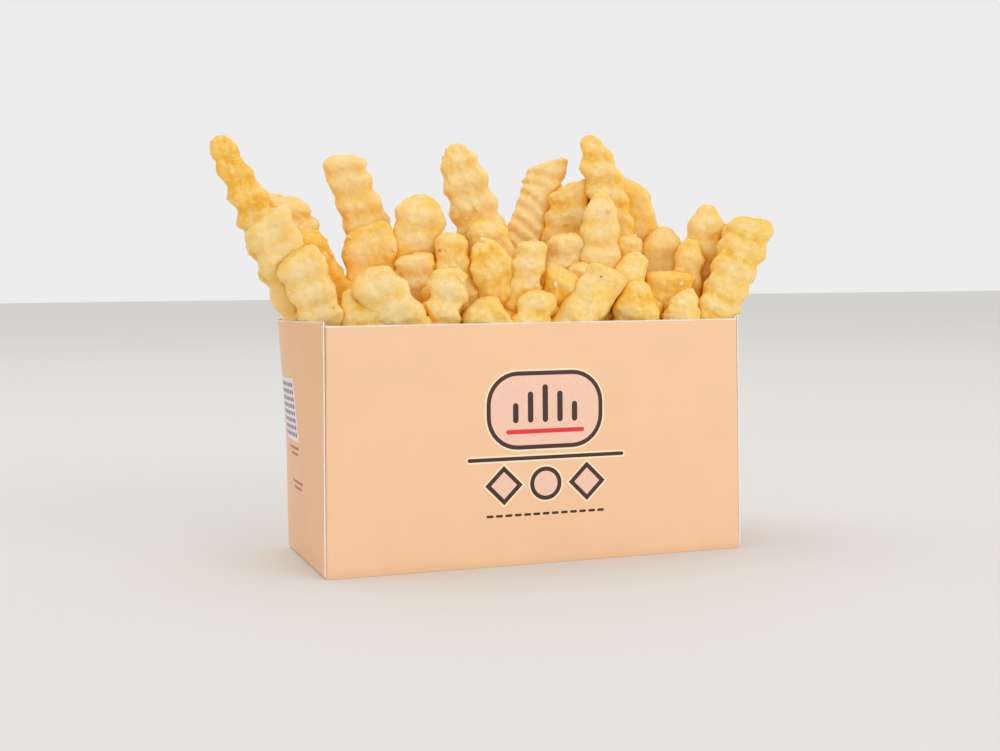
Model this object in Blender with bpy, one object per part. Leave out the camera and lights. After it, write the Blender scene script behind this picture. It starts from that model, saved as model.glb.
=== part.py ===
"""Crinkle-cut french fries heaped in an open paperboard carton.

Metres, +Z up. The origin is the middle of the carton's foot, +X runs along the wide front panel
and the front panel faces -Y. Two nodes: carton (one folded board) and fries (the whole heap).
"""
import math
import random

import bmesh
import bpy
from mathutils import Matrix, Vector

MM = 0.001

# Carton, outside sizes at the foot
CARTON_WIDTH = 130.0 * MM
CARTON_DEPTH = 55.0 * MM
CARTON_HEIGHT = 71.0 * MM
BOARD = 0.5 * MM
FOLD_RADIUS = 0.9 * MM
FOOT_RADIUS = 0.5 * MM
LEFT_BULGE = 6.2 * MM
RIGHT_BULGE = 5.0 * MM
FRONT_PULL_IN = 1.0 * MM
FLAP_RISE = 1.2 * MM
FLAP_FOOT = 0.8 * MM
FLAP_INSET = 0.35 * MM
FLAP_EMBED = 0.15 * MM
HEIGHT_STEPS = 8
SIDE_STEPS = 12
FRONT_STEPS = 6
FOLD_STEPS = 4

# Heap
CLEARANCE = 0.55 * MM
CORE_TOP = 64.0 * MM
ROOT_DEPTH = 9.0 * MM
FLAT_ANGLE = math.radians(0.5)
ROOM_LEVELS = 4
ROOM_SIDE_STEPS = 6
HEAP_CEILING = 140.0 * MM
OVERHANG = 60.0 * MM
RIDGE_PITCH = 8.0 * MM
RIDGE_DEPTH = 1.4 * MM
FRY_THICKNESS = 12.0 * MM
CUT_REACH = 10.0 * MM
FILLER_SEED = 7

CARTON_COLOUR = (0.93, 0.60, 0.38, 1.0)
FRIES_COLOUR = (0.92, 0.63, 0.24, 1.0)

# Each fry: x and y where it passes the rim, rise above the rim, width (mm), lean to the right, nod to
# the back, turn about its own length (degrees), kind of tip, slope of its cut end (degrees, + is higher
# on the right), sideways bend of the tip (mm)
FRIES = [
    # Left end, leaning out over the side panel
    (-62, 11, 55.5, 11, -24, -4, -10, "narrow", 0, 0),
    (-63, -1, 30.5, 12.5, -19, -7, -12, "blunt", 10, 0),
    (-60.5, -13, 20.5, 12, -21, -6, -12, "round", 0, 0),
    (-50.5, 19, 38.5, 12.5, -24, -3, -14, "blunt", -32, 0),
    (-48, 6, 27, 11.5, -32, -6, -14, "blunt", -30, 0),
    (-51, -16, 9.5, 10, -12, 6, -14, "round", 0, 0),
    # Left of the middle
    (-30.5, 18, 50.5, 13, -20, -2, -15, "blunt", -19, 0),
    (-44.5, -4, 29.5, 15, -2, 4, -14, "round", 0, 0),
    (-39, -18.5, 15.5, 12, -31, 1, -15, "round", 0, 0),
    (-29.5, 6, 38.5, 14.5, 4, -3, -16, "round", 0, 0),
    (-30, -4, 20, 10.5, -6, -3, -16, "round", 0, 0),
    (-19, -3, 27, 9, -3, 0, -17, "blunt", -13, 0),
    (-27.5, -12, 15.5, 9, 18, 5, -16, "round", 0, 0),
    (-17, -14, 14.5, 9, -11, -6, -17, "round", 0, 0),
    (-12, -20, 7, 10, -38, -12, -18, "round", 0, 0),
    (-25, -20, 6, 12, -3, -4, -17, "round", 0, 0),
    # Middle
    (4, 13, 53.5, 13.5, -19, 0, -19, "narrow", 0, 0),
    (-2, 1, 31, 12.5, -9, 2, -19, "round", 0, 0),
    (-3, -8, 23, 10.5, -15, 3, -19, "round", 0, 0),
    (2, 20, 50, 10.5, 21, 1, -19, "blunt", 33, 0),
    (-1, -21, 9, 10, 19, 6, -20, "round", 0, 0),
    (-5, -14, 23.5, 9, 15, -6, -19, "narrow", 0, 0),
    (2.5, 5, 22, 9.5, -3, -3, -19, "round", 0, 0),
    (10.5, -12.5, 14.5, 10.5, 8, -9, -21, "blunt", -12, 0),
    (17, -19.5, 14.5, 12.5, 28, 5, -22, "round", 0, 0),
    (19.5, 1, 26.5, 11.5, 0, -2, -22, "blunt", 0, 0),
    (17.5, -9, 18.5, 9, 7, 0, -22, "blunt", 0, 0),
    (23, 13, 43, 12.5, 4, 0, -22, "blunt", 25, 0),
    # Right of the middle
    (42, 7.5, 58.5, 11, -7, -2, -24, "narrow", 0, -5),
    (29, -5, 39, 11.5, 0, 1, -23, "narrow", 0, 0),
    (60.5, 13, 46, 12, -23, 2, -25, "round", 0, 0),
    (52, 2, 28.5, 10.5, 3, 0, -25, "round", 0, 0),
    (37, -1, 26, 8.5, 4, -5, -24, "blunt", 0, 0),
    (29, -13.5, 20, 8, 27, 8, -23, "round", 0, 0),
    (33.5, -20, 11.5, 12.5, 3, -2, -24, "round", 0, 0),
    (48.5, -11.5, 14.5, 14.5, 1, -6, -26, "round", 0, 0),
    (48.5, -21, 9, 10.5, 16, -4, -26, "round", 0, 0),
    # Right end, leaning out
    (62.5, -4.5, 35, 10, 6, -1, -27, "narrow", 0, 0),
    (56.5, -8.5, 25, 8, 0, -4, -27, "round", 0, 0),
    (60.5, -19.5, 30.5, 12.5, 25, 4, -20, "round", 0, 0),
    (61, 3, 31.5, 9.5, 22, 4, -24, "round", 0, 0),
    # Behind the gaps
    (15, 20, 27, 11, 3, 0, -20, "round", 0, 0),
    (-14, 9, 22, 11, -3, 0, -18, "round", 0, 0),
    (34, 18, 24, 11, -8, 0, -22, "blunt", 0, 0),
    (-40, 9, 16, 11, 6, 0, -16, "round", 0, 0),
]
# Rows of lower fries that fill the back of the heap: y, tallest rise, count (mm)
FILLER_ROWS = [
    (20, 14, 8),
    (10, 12, 7),
    (-2, 6, 5),
]


def clear_scene():
    """Removes every object of the startup file."""
    for item in list(bpy.data.objects):
        bpy.data.objects.remove(item, do_unlink=True)


def link(name, mesh):
    """Puts a mesh into the scene as an object."""
    item = bpy.data.objects.new(name, mesh)
    bpy.context.collection.objects.link(item)
    return item


def mesh_from(name, verts, faces):
    """Makes a mesh with all its normals outside."""
    work = bmesh.new()
    made = [work.verts.new(v) for v in verts]
    for face in faces:
        work.faces.new([made[i] for i in face])
    bmesh.ops.triangulate(work, faces=work.faces)
    bmesh.ops.recalc_face_normals(work, faces=work.faces)
    mesh = bpy.data.meshes.new(name)
    work.to_mesh(mesh)
    work.free()
    return mesh


def material(name, colour, roughness):
    """A plain Principled material."""
    made = bpy.data.materials.new(name)
    made.use_nodes = True
    shader = made.node_tree.nodes["Principled BSDF"]
    shader.inputs["Base Color"].default_value = colour
    shader.inputs["Roughness"].default_value = roughness
    return made


def side_x(sign, y, z):
    """Outer face of a side panel: straight at the foot, bowed out at the rim."""
    bulge = LEFT_BULGE if sign < 0 else RIGHT_BULGE
    height = max(z, 0.0) / CARTON_HEIGHT
    across = min(abs(y) / (CARTON_DEPTH / 2), 1.0)
    bow = bulge * height * (1 - across * across)
    pull = FRONT_PULL_IN * height * (0.5 - y / CARTON_DEPTH)
    return sign * (CARTON_WIDTH / 2 + bow - pull)


def plan_loop(z, inward, side_steps=SIDE_STEPS, front_steps=FRONT_STEPS, fold_steps=FOLD_STEPS):
    """The carton's outline at a height, anticlockwise, moved inward by a distance."""
    half = CARTON_DEPTH / 2
    radius = max(FOLD_RADIUS - inward, 0.3 * MM)
    points = []
    for sign, turn in ((1, -90), (1, 0), (-1, 90), (-1, 180)):
        y_sign = -1 if turn in (-90, 180) else 1
        corner = Vector((side_x(sign, y_sign * half, z), y_sign * half))
        centre = corner - Vector((sign, y_sign)) * (inward + radius)
        for step in range(fold_steps + 1):
            angle = math.radians(turn + 90 * step / fold_steps)
            points.append(centre + radius * Vector((math.cos(angle), math.sin(angle))))
        if turn in (-90, 90):
            points += side_run(sign, z, inward, radius, side_steps)
        else:
            points += end_run(sign, z, inward, radius, front_steps)
    return [Vector((p.x, p.y, z)) for p in points]


def side_run(sign, z, inward, radius, steps):
    """Points between two folds along a side panel, in the loop's direction."""
    reach = CARTON_DEPTH / 2 - inward - radius
    run = []
    for step in range(1, steps):
        y = sign * reach * (2 * step / steps - 1)
        run.append(Vector((side_x(sign, y, z) - sign * inward, y)))
    return run


def end_run(sign, z, inward, radius, steps):
    """Points between two folds along the back (+1) or front (-1) panel."""
    y = sign * (CARTON_DEPTH / 2 - inward)
    right = side_x(1, sign * CARTON_DEPTH / 2, z) - inward - radius
    left = side_x(-1, sign * CARTON_DEPTH / 2, z) + inward + radius
    run = []
    for step in range(1, steps):
        share = step / steps
        x = right + (left - right) * share
        run.append(Vector((x if sign > 0 else left + right - x, y)))
    return run


def stack_loops(loops):
    """Closes a stack of equal loops with side faces and two caps."""
    count = len(loops[0])
    verts = [p for loop in loops for p in loop]
    faces = []
    for level in range(len(loops) - 1):
        for i in range(count):
            j = (i + 1) % count
            a = level * count
            b = a + count
            faces.append((a + i, a + j, b + j, b + i))
    faces.append(tuple(reversed(range(count))))
    faces.append(tuple(range(len(verts) - count, len(verts))))
    return verts, faces


def make_tray():
    """The folded box: outside up, over the rim and down the inside to its floor."""
    loops = [plan_loop(0.0, FOOT_RADIUS)]
    loops[0] = [Vector((p.x, p.y, 0.0)) for p in loops[0]]
    loops.append(plan_loop(FOOT_RADIUS, 0.0))
    for step in range(1, HEIGHT_STEPS + 1):
        z = FOOT_RADIUS + (CARTON_HEIGHT - FOOT_RADIUS) * step / HEIGHT_STEPS
        loops.append(plan_loop(z, 0.0))
    for step in range(HEIGHT_STEPS, 0, -1):
        z = BOARD + (CARTON_HEIGHT - BOARD) * step / HEIGHT_STEPS
        loops.append(plan_loop(z, BOARD))
    loops.append(plan_loop(BOARD, BOARD))
    verts, faces = stack_loops(loops)
    return mesh_from("carton", verts, faces)


def make_flap(sign):
    """A side panel glued outside the box, with raw edges at both folds and over the rim."""
    half = CARTON_DEPTH / 2 - FLAP_INSET
    top = CARTON_HEIGHT + FLAP_RISE
    rows = []
    for offset in (-FLAP_EMBED, BOARD - FLAP_EMBED):
        for level in range(HEIGHT_STEPS + 1):
            z = FLAP_FOOT + (top - FLAP_FOOT) * level / HEIGHT_STEPS
            row = []
            for step in range(SIDE_STEPS + 1):
                y = half * (2 * step / SIDE_STEPS - 1)
                row.append(Vector((side_x(sign, y, z) + sign * offset, y, z)))
            rows.append(row)
    levels = HEIGHT_STEPS + 1
    width = SIDE_STEPS + 1
    verts = [p for row in rows for p in row]
    faces = []
    shell = levels * width
    for level in range(HEIGHT_STEPS):
        for step in range(SIDE_STEPS):
            a = level * width + step
            inner = (a, a + 1, a + width + 1, a + width)
            faces.append(inner)
            faces.append(tuple(shell + i for i in reversed(inner)))
    edge = list(range(width))
    edge += [level * width + SIDE_STEPS for level in range(1, levels)]
    edge += [HEIGHT_STEPS * width + step for step in range(SIDE_STEPS - 1, -1, -1)]
    edge += [level * width for level in range(HEIGHT_STEPS - 1, 0, -1)]
    for i, a in enumerate(edge):
        b = edge[(i + 1) % len(edge)]
        faces.append((a, shell + a, shell + b, b))
    return mesh_from("side_flap", verts, faces)


def boolean(target, operation, other=None, collection=None, solver="EXACT"):
    """Applies one Boolean to an object."""
    step = target.modifiers.new(operation.lower(), "BOOLEAN")
    step.operation = operation
    step.solver = solver
    if collection is None:
        step.object = other
    else:
        step.operand_type = "COLLECTION"
        step.collection = collection
    bpy.context.view_layer.update()
    graph = bpy.context.evaluated_depsgraph_get()
    mesh = bpy.data.meshes.new_from_object(target.evaluated_get(graph))
    target.modifiers.clear()
    target.data = mesh


def make_carton():
    """The tray with its two outer side panels fused on."""
    carton = link("carton", make_tray())
    for sign in (-1, 1):
        flap = link("side_flap", make_flap(sign))
        boolean(carton, "UNION", other=flap)
        bpy.data.objects.remove(flap, do_unlink=True)
    carton.data.materials.clear()
    carton.data.materials.append(material("coated paperboard", CARTON_COLOUR, 0.55))
    return carton


def tip_rings(kind, length):
    """Height and size of the last rings of a fry, for each kind of tip."""
    shapes = {
        "blunt": ((1.5, 1.0), (0.0, 0.86)),
        "narrow": ((17.0, 0.96), (10.0, 0.78), (4.0, 0.66), (0.0, 0.4)),
        "round": ((4.5, 0.96), (1.5, 0.76), (0.0, 0.42)),
    }
    return [(length - below * MM, size) for below, size in shapes[kind]]


def make_fry(length, width, kind, cut, bend, phase, root_length):
    """One ridged bar along +Z from its root, with four faces and rings at crests and troughs."""
    thickness = min(width, FRY_THICKNESS)
    tip = [(z, size) for z, size in tip_rings(kind, length) if z > 2 * MM]
    rings = []
    half_pitch = RIDGE_PITCH / 2
    count = max(2, int((tip[0][0] - 1 * MM) / half_pitch))
    for step in range(count + 1):
        z = tip[0][0] * step / (count + 1)
        rings.append((z, 1.0, step + phase))
    for order, (z, size) in enumerate(tip):
        rings.append((z, size, count + 1 + phase + order))
    verts = []
    for z, size, order in rings:
        wave = RIDGE_DEPTH / 2 * (1 if order % 2 else -1)
        half_x = size * width / 2 + wave * size
        half_y = size * thickness / 2 + wave * size
        above = max(0.0, z - root_length) / max(length - root_length, MM)
        shift = bend * above * above
        near_end = max(0.0, 1 - (length - z) / CUT_REACH)
        slope = math.tan(math.radians(cut)) * near_end
        for x, y in ((-1, -1), (1, -1), (1, 1), (-1, 1)):
            verts.append(Vector((x * half_x + shift, y * half_y, z + slope * x * half_x)))
    loops = [verts[i:i + 4] for i in range(0, len(verts), 4)]
    return mesh_from("fry", *stack_loops(loops))


def place_fry(group, number, row):
    """Stands one fry in the carton by its list row."""
    x, y, rise, width, lean, nod, turn, kind, cut, bend = row
    tangent = Vector((math.tan(math.radians(lean)), math.tan(math.radians(nod)), 1.0))
    stretch = tangent.length
    axis = tangent.normalized()
    root_length = ROOT_DEPTH * stretch
    length = root_length + rise * MM * stretch
    mesh = make_fry(length, width * MM, kind, cut, bend * MM, number % 2, root_length)
    start = Vector((x * MM, y * MM, CARTON_HEIGHT)) - axis * root_length
    right = (Vector((1, 0, 0)) - axis * axis.x).normalized()
    back = axis.cross(right)
    frame = Matrix((right, back, axis)).transposed() @ Matrix.Rotation(math.radians(turn), 3, "Z")
    mesh.transform(Matrix.Translation(start) @ frame.to_4x4())
    item = bpy.data.objects.new("fry", mesh)
    group.objects.link(item)
    return item


def interior(name, z_low, z_high, gap):
    """A block that follows the carton's inside with a gap."""
    loops = []
    for step in range(ROOM_LEVELS + 1):
        z = z_low + (z_high - z_low) * step / ROOM_LEVELS
        loops.append(plan_loop(z, BOARD + gap, ROOM_SIDE_STEPS, 1, 1))
    return link(name, mesh_from(name, *stack_loops(loops)))


def keep_biggest(mesh):
    """Drops loose scraps and fills sealed hollows by keeping only the biggest shell."""
    work = bmesh.new()
    work.from_mesh(mesh)
    left = set(work.faces)
    shells = []
    while left:
        todo = [left.pop()]
        shell = list(todo)
        while todo:
            face = todo.pop()
            for edge in face.edges:
                for near in edge.link_faces:
                    if near in left:
                        left.remove(near)
                        todo.append(near)
                        shell.append(near)
        shells.append(shell)
    shells.sort(key=len)
    for shell in shells[:-1]:
        bmesh.ops.delete(work, geom=shell, context="FACES")
    bmesh.ops.dissolve_limit(work, angle_limit=FLAT_ANGLE, verts=work.verts, edges=work.edges)
    bmesh.ops.triangulate(work, faces=work.faces)
    work.to_mesh(mesh)
    work.free()


def filler_rows():
    """List rows for the lower fries at the back, uneven in height and lean."""
    draw = random.Random(FILLER_SEED)
    rows = []
    for y, tallest, count in FILLER_ROWS:
        for step in range(count):
            x = (step + 0.5 + draw.uniform(-0.2, 0.2)) / count * 112 - 56
            rise = draw.uniform(0.3, 1.0) * tallest
            lean = draw.uniform(-16, 16)
            nod = draw.uniform(-6, 4)
            turn = draw.uniform(-40, 40)
            rows.append((x, y + draw.uniform(-1, 1), rise, 11, lean, nod, turn, "round", 0, 0))
    return rows


def make_heap():
    """The heap: fries fused to a core, cut clear of the carton."""
    group = bpy.data.collections.new("heap")
    for number, row in enumerate(FRIES + filler_rows()):
        place_fry(group, number, row)
    heap = interior("fries", BOARD + CLEARANCE, CORE_TOP, CLEARANCE)
    boolean(heap, "UNION", collection=group, solver="MANIFOLD")
    for item in list(group.objects):
        bpy.data.objects.remove(item, do_unlink=True)
    bpy.data.collections.remove(group)
    room = interior("room", BOARD + CLEARANCE, CARTON_HEIGHT + FLAP_RISE + CLEARANCE, CLEARANCE)
    low = CARTON_HEIGHT + FLAP_RISE + CLEARANCE / 2
    wide = CARTON_WIDTH / 2 + OVERHANG
    deep = CARTON_DEPTH / 2 + OVERHANG
    loops = []
    for z in (low, HEAP_CEILING):
        loops.append([Vector((x * wide, y * deep, z)) for x, y in ((-1, -1), (1, -1), (1, 1), (-1, 1))])
    sky = link("sky", mesh_from("sky", *stack_loops(loops)))
    boolean(room, "UNION", other=sky, solver="MANIFOLD")
    boolean(heap, "INTERSECT", other=room, solver="MANIFOLD")
    bpy.data.objects.remove(sky, do_unlink=True)
    bpy.data.objects.remove(room, do_unlink=True)
    keep_biggest(heap.data)
    heap.data.materials.clear()
    heap.data.materials.append(material("fried potato", FRIES_COLOUR, 0.6))
    return heap


clear_scene()
make_carton()
make_heap()
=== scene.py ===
"""Crinkle-cut fries heaped in a printed paperboard carton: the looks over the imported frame.

Metres, +Z up. The origin is the middle of the carton's foot, +X runs along the wide front panel and
the front panel faces -Y, as in the frame.
"""

import math
import random

import bmesh
import bpy
import numpy as np
from mathutils import Matrix, Vector, noise
from mathutils.bvhtree import BVHTree


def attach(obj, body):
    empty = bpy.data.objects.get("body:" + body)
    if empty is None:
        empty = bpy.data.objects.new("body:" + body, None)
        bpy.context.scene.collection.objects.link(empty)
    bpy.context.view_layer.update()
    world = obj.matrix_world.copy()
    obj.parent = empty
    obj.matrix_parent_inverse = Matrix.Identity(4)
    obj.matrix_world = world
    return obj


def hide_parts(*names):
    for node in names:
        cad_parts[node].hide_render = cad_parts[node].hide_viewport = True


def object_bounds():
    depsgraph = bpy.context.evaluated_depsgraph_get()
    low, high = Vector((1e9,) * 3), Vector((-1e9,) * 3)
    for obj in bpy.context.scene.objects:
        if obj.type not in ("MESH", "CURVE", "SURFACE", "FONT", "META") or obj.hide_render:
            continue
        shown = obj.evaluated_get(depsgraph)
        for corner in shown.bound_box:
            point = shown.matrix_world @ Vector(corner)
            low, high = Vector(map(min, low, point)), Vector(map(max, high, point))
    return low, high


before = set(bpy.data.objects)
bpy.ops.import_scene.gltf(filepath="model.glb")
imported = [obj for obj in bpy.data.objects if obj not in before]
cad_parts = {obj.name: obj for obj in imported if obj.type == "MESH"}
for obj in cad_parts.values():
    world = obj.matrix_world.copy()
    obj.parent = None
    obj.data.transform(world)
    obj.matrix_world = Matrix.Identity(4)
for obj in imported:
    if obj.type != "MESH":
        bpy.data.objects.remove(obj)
CAD_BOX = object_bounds()
MM = 0.001

# Carton, outside sizes at the foot
WIDTH = 130.0 * MM
DEPTH = 55.0 * MM
HEIGHT = 71.0 * MM
BOARD = 0.5 * MM
LEFT_FOLD = 0.9 * MM
RIGHT_FOLD = 0.37 * MM
LEAST_FOLD = 0.3 * MM
LEFT_BULGE = 6.2 * MM
RIGHT_BULGE = 5.0 * MM
FRONT_PULL_IN = 1.0 * MM
FLAP_RISE = 1.2 * MM
FLAP_FOOT = 0.8 * MM
LEFT_INSET = 0.35 * MM
RIGHT_INSET = 0.08 * MM
# Points of the front right fold where the raw rim is torn up
TORN_FOLD = range(1, 7)
TORN_RISE = 0.9 * MM
BASE_BOARD = 0.4 * MM
BASE_INSET = 0.6 * MM
WALL_LEVELS = 28
# The wall's foot, tucked in above the floor
FOOT_LIFT = 0.02 * MM
FOOT_TUCK = 0.25 * MM
# Waviness of the raw edges
RAGGED = 0.05 * MM
SKIN = 0.07 * MM
RAW_BAND = 0.3 * MM
PANEL_OUT = 0.30 * MM

# Heap
# Fries start this far below the rim, inside the core
ROOT_DEPTH = 13.0 * MM
CORE_TOP = 62.0 * MM
RIDGE_PITCH = 8.0 * MM
RIDGE_DEPTH = 1.4 * MM
FRY_THICKNESS = 12.0 * MM
CUT_REACH = 10.0 * MM
# Fries have coarser sections from this far below the rim down
HIDDEN_BELOW = 3.0 * MM
STATION = 0.52 * MM
TIP_LENGTH = 2.6 * MM
SECTION_POINTS = 76
BACK_SECTION_POINTS = 40
# Reaches for finding the hollows and seams between the fries, which the material fills with painted glow and
# shade
HOLLOW_REACH = 8.5 * MM
SEAM_REACH = 3.0 * MM
# Turn between neighbouring rays, which spreads them evenly
GOLDEN_ANGLE = 2.39996
# Depths of frying that part the pale, straw, golden and deep fries
KIND_LIMITS = (0.22, 0.44, 0.61)
FILLER_SEED = 7
CRUMB_SEED = 11
CRUMBS = 170
WALL_GAP = 0.15 * MM
BOX_MARGIN = 0.02 * MM

# Camera, from the carton's corners in the photograph
PHOTO_WIDTH = 1000
FOCAL_PIXELS = 1400.0
SENSOR = 36.0
CAMERA_PLACE = (-144.7 * MM, -409.1 * MM, 82.2 * MM)
CAMERA_YAW = 19.047
CAMERA_PITCH = 3.739
CAMERA_ROLL = -0.544
CLIP_START = 10.0 * MM

# Stage and light
FLOOR_HALF = 8.0
LIGHT_AIM = (0.0, 0.0, 0.06)
OVERHEAD_WATTS = 4.4
FILL_WATTS = 10.4
SURROUND = 0.85

# Each fry: x and y where it passes the rim, rise above the rim, width (mm), lean to the right, nod to
# the back, turn about its own length (degrees), kind of tip, slope of its cut end (degrees, + is higher
# on the right), sideways bend of the tip (mm), depth of frying (0 pale, 1 golden), strength of ridges.
# A few have more: pitch of the ridges, first crest below the tip on the left and right side (mm), slant
# of the ridges (degrees), and faced, the share of their depth on the front and back
FRIES = [
    # Left end, leaning out over the side panel
    (-61.5, 11, 55.5, 12, -24, -4, -9, "narrow", 0, -2, 1.02, 1.0, {"pitch": 8.2, "left": 2, "right": 4.7}),
    (-63, -6, 31, 14.5, -24, -4, -11, "blunt", 12, 0, 0.12, 0.9,
     {"pitch": 9, "left": 4, "right": 3, "faced": 1}),
    (-60.5, -13, 21, 13, -23, -6, -12, "soft", 6, 0, 0.17, 0.7, {"pitch": 8, "left": 3, "right": 7}),
    (-50.5, 19, 38.5, 12, -24, -3, -14, "blunt", -32, 0, 0.10, 1.0, {"pitch": 8, "right": 3}),
    (-50, 4, 29, 14, -33, -8, -13, "round", -36, 0, 1.35, 0.3, {}),
    (-50, -17, 10.5, 12.5, -14, 4, -14, "point", 0, -2, 0.50, 0.8, {"pitch": 5, "faced": 0.3}),
    # Left of the middle
    (-30.5, 18, 51, 13, -20, -2, -15, "soft", -13, 0, 0.25, 0.75, {"pitch": 7.6, "left": 7.6, "right": 8.6}),
    (-42, 6, 29.5, 15.5, -3, 1, -14, "soft", 16, 0, 0.62, 0.9, {"pitch": 11, "left": 8, "right": 6}),
    (-39, -18.5, 15, 13, -36, 1, -15, "soft", -7, 0, 0.05, 0.7, {"pitch": 8.5, "left": 4, "right": 9}),
    (-29.5, 6, 38.5, 14.5, 4, -3, -16, "dome", 0, 0, 0.25, 0.8, {"pitch": 10, "left": 5, "right": 8}),
    (-30, -1, 20.5, 11, -4, -3, -16, "blunt", 8, 0, 0.15, 1.1, {"pitch": 7, "left": 1, "right": 4}),
    (-17.2, -6.5, 26.4, 15, -8, 0, -17, "narrow", -8, 0, 0.45, 0.7, {"pitch": 9, "left": 10, "right": 12}),
    (-28.2, -19, 15.5, 9.5, 12, 4, -16, "blunt", 8, 0, 0.02, 0.9, {"pitch": 7.5, "left": 4, "right": 7}),
    (-14.5, -20.5, 5.5, 12, -36, -4, -17, "soft", -6, 0, 0.40, 0.5, {}),
    (-9, -19, 0.5, 10.5, -30, -12, -18, "round", 0, 0, 0.50, 0.5, {}),
    (-36, -20.5, 3, 10, -3, -4, -17, "round", 0, 0, 0.30, 0.7, {}),
    # Middle
    (4, 13, 54.5, 14, -19, 0, -19, "point", 0, 1, 0.15, 0.8, {"pitch": 7.4, "left": 5.2, "right": 5}),
    (-2, 1, 31, 13, -9, 2, -19, "round", -8, 0, 0.62, 0.5, {}),
    (-2.5, -11.5, 24.5, 13, -23, 1, -19, "point", 0, 0, 0.62, 0.6, {"pitch": 9, "left": 6, "right": 9}),
    (3, 20, 50.5, 12, 20, 1, -19, "blunt", 33, 0, 0.12, 0.75,
     {"pitch": 4.7, "left": 4, "right": 1, "slant": 26, "faced": 1}),
    (-1, -21.5, 9, 11, 19, 6, -20, "soft", 14, 0, 0.60, 0.7, {}),
    (-2.4, -14, 24, 9, 8, -6, -19, "blunt", 4, 1, 0.32, 0.6, {}),
    (2.5, 5, 22, 9.5, -3, -3, -19, "round", 0, 0, 0.60, 0.6, {}),
    (10.5, -11, 14.5, 11.5, 4, -24, -21, "blunt", -16, 0, 0.45, 0.2, {}),
    (14, -20, 14.5, 13, 38, 3, -22, "blunt", 8, 0, 0.42, 0.2, {}),
    # Painted light: this fry's depth of frying is set below nought, paler than the palest, to lighten it
    # where it stands in the shade of the fries around it
    (19.5, 1, 26.5, 12, 0, -2, -22, "blunt", 3, 0, -0.25, 0.9, {"pitch": 9, "left": 2, "right": 3}),
    (15.5, -7, 17, 11, 28, 0, -22, "round", 8, 0, 0.20, 0.4, {}),
    (22.5, 13, 43, 13.5, 4, 0, -22, "blunt", 25, 0, 0.50, 0.9, {"pitch": 7.5, "left": 2.5, "right": 2}),
    # Right of the middle
    (42.5, 7.5, 59, 11.5, -7, -2, -24, "point", 0, -6, 0.66, 0.8, {"pitch": 7.6, "left": 10, "right": 13}),
    (29, -5, 39.5, 12, 0, 1, -23, "point", 0, 0, 0.20, 0.8, {"pitch": 8, "faced": 1}),
    (60.5, 13, 46, 15, -22, 2, -25, "soft", -32, 0, 0.50, 0.2, {}),
    (52, 2, 29, 12.5, 3, 0, -25, "dome", 0, 0, 0.45, 0.6, {"pitch": 9, "left": 8, "right": 7}),
    (37, -1, 26, 8.5, 4, -5, -24, "blunt", 0, 0, 0.25, 0.6, {}),
    (29, -13.5, 20, 8.5, 27, 8, -23, "round", 0, 0, 0.35, 0.5, {}),
    (33.5, -20, 12, 14.5, 5, -2, -24, "point", 0, 0, 0.80, 0.5, {}),
    (48.5, -11.5, 14.5, 15.5, 1, -6, -26, "blunt", 0, 0, 0.85, 0.2, {}),
    (48.5, -21, 9, 11, 16, -4, -26, "point", 0, 0, 0.40, 0.5, {}),
    # Right end, leaning out
    (62.5, -4.5, 36, 12, 5, -1, -27, "point", 0, 0, 0.40, 0.9, {"pitch": 7.5, "left": 6, "right": 6}),
    (56, -8.5, 25, 9.5, 3, -4, -27, "dome", 0, 0, 0.45, 0.35, {}),
    (60.5, -19.5, 31, 13, 25, 4, -20, "soft", 13, 0, 0.60, 0.8,
     {"pitch": 6.4, "left": 6, "right": 4.4, "faced": 0.3}),
    (61, 3, 31.5, 9.5, 22, 4, -24, "round", 0, 0, 0.60, 0.8, {}),
    # Behind the gaps
    (15, 20, 27, 11, 3, 0, -20, "round", 0, 0, 0.60, 0.7, {}),
    (-14, 9, 22, 11, -3, 0, -18, "round", 0, 0, 0.60, 0.7, {}),
    (34, 18, 24, 11, -8, 0, -22, "blunt", 0, 0, 0.50, 0.8, {}),
    (-40, 9, 16, 11, 6, 0, -16, "round", 0, 0, 0.60, 0.7, {}),
    (33.5, 18.5, 43, 10, 0, 0, -22, "round", 0, 0, 0.95, 0.5, {}),
    (13.5, 4, 17, 10, 0, 0, -20, "round", 0, 0, 0.80, 0.5, {}),
    (27, -12.5, 7, 9, 0, 0, -22, "round", 0, 0, 0.95, 0.5, {}),
]
# Lower fries that fill the back of the heap (mm): how far they spread, their width, and for each row its
# y, tallest rise and count
FILLER_SPREAD = 112
FILLER_WIDTH = 11
FILLER_ROWS = [
    (20, 14, 8),
    (10, 12, 7),
    (-2, 6, 5),
    (3, 15, 9),
    (-6, 12, 10),
    (-14, 7, 10),
]


# Frying colours, from palest to deepest, then the extras
PALE = "#FADC9E"
STRAW = "#FAD37E"
GOLDEN = "#F8CB5A"
DEEP = "#F5BB36"
EDGE = "#F6C252"
# Painted light and shade between the fries: a bright yellow glow for the hollows and a darker orange shade
# for the seams where they touch
PAINTED_HOLLOW_GLOW = "#FFD24A"
PAINTED_SEAM_SHADE = "#FFB42E"
BATTER = "#FDE4B6"
BLISTER = "#FFEFD0"
SPECK = "#8C4410"
# Board and inks
PEACH = "#F8CAA0"
# A darker copy of the peach board for the side panels: painted shade, as the sides face away from the front
# fill
PEACH_SIDE_SHADED = "#F4C194"
BOARD_BACK = "#F3EEE6"
PULP = "#FAF7F1"
PULP_SHADE = "#E6DFD3"
BROWN_INK = "#3C1914"
RED_INK = "#E82430"
PINK_INK = "#F3C7AE"
CREAM_INK = "#FBE9C4"
LILAC_INK = "#E9DEE6"
FLOOR_COLOUR = "#E0DEDA"
DOT_INK = "#5A3A40"
RUSSET_INK = "#B4513E"


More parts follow.
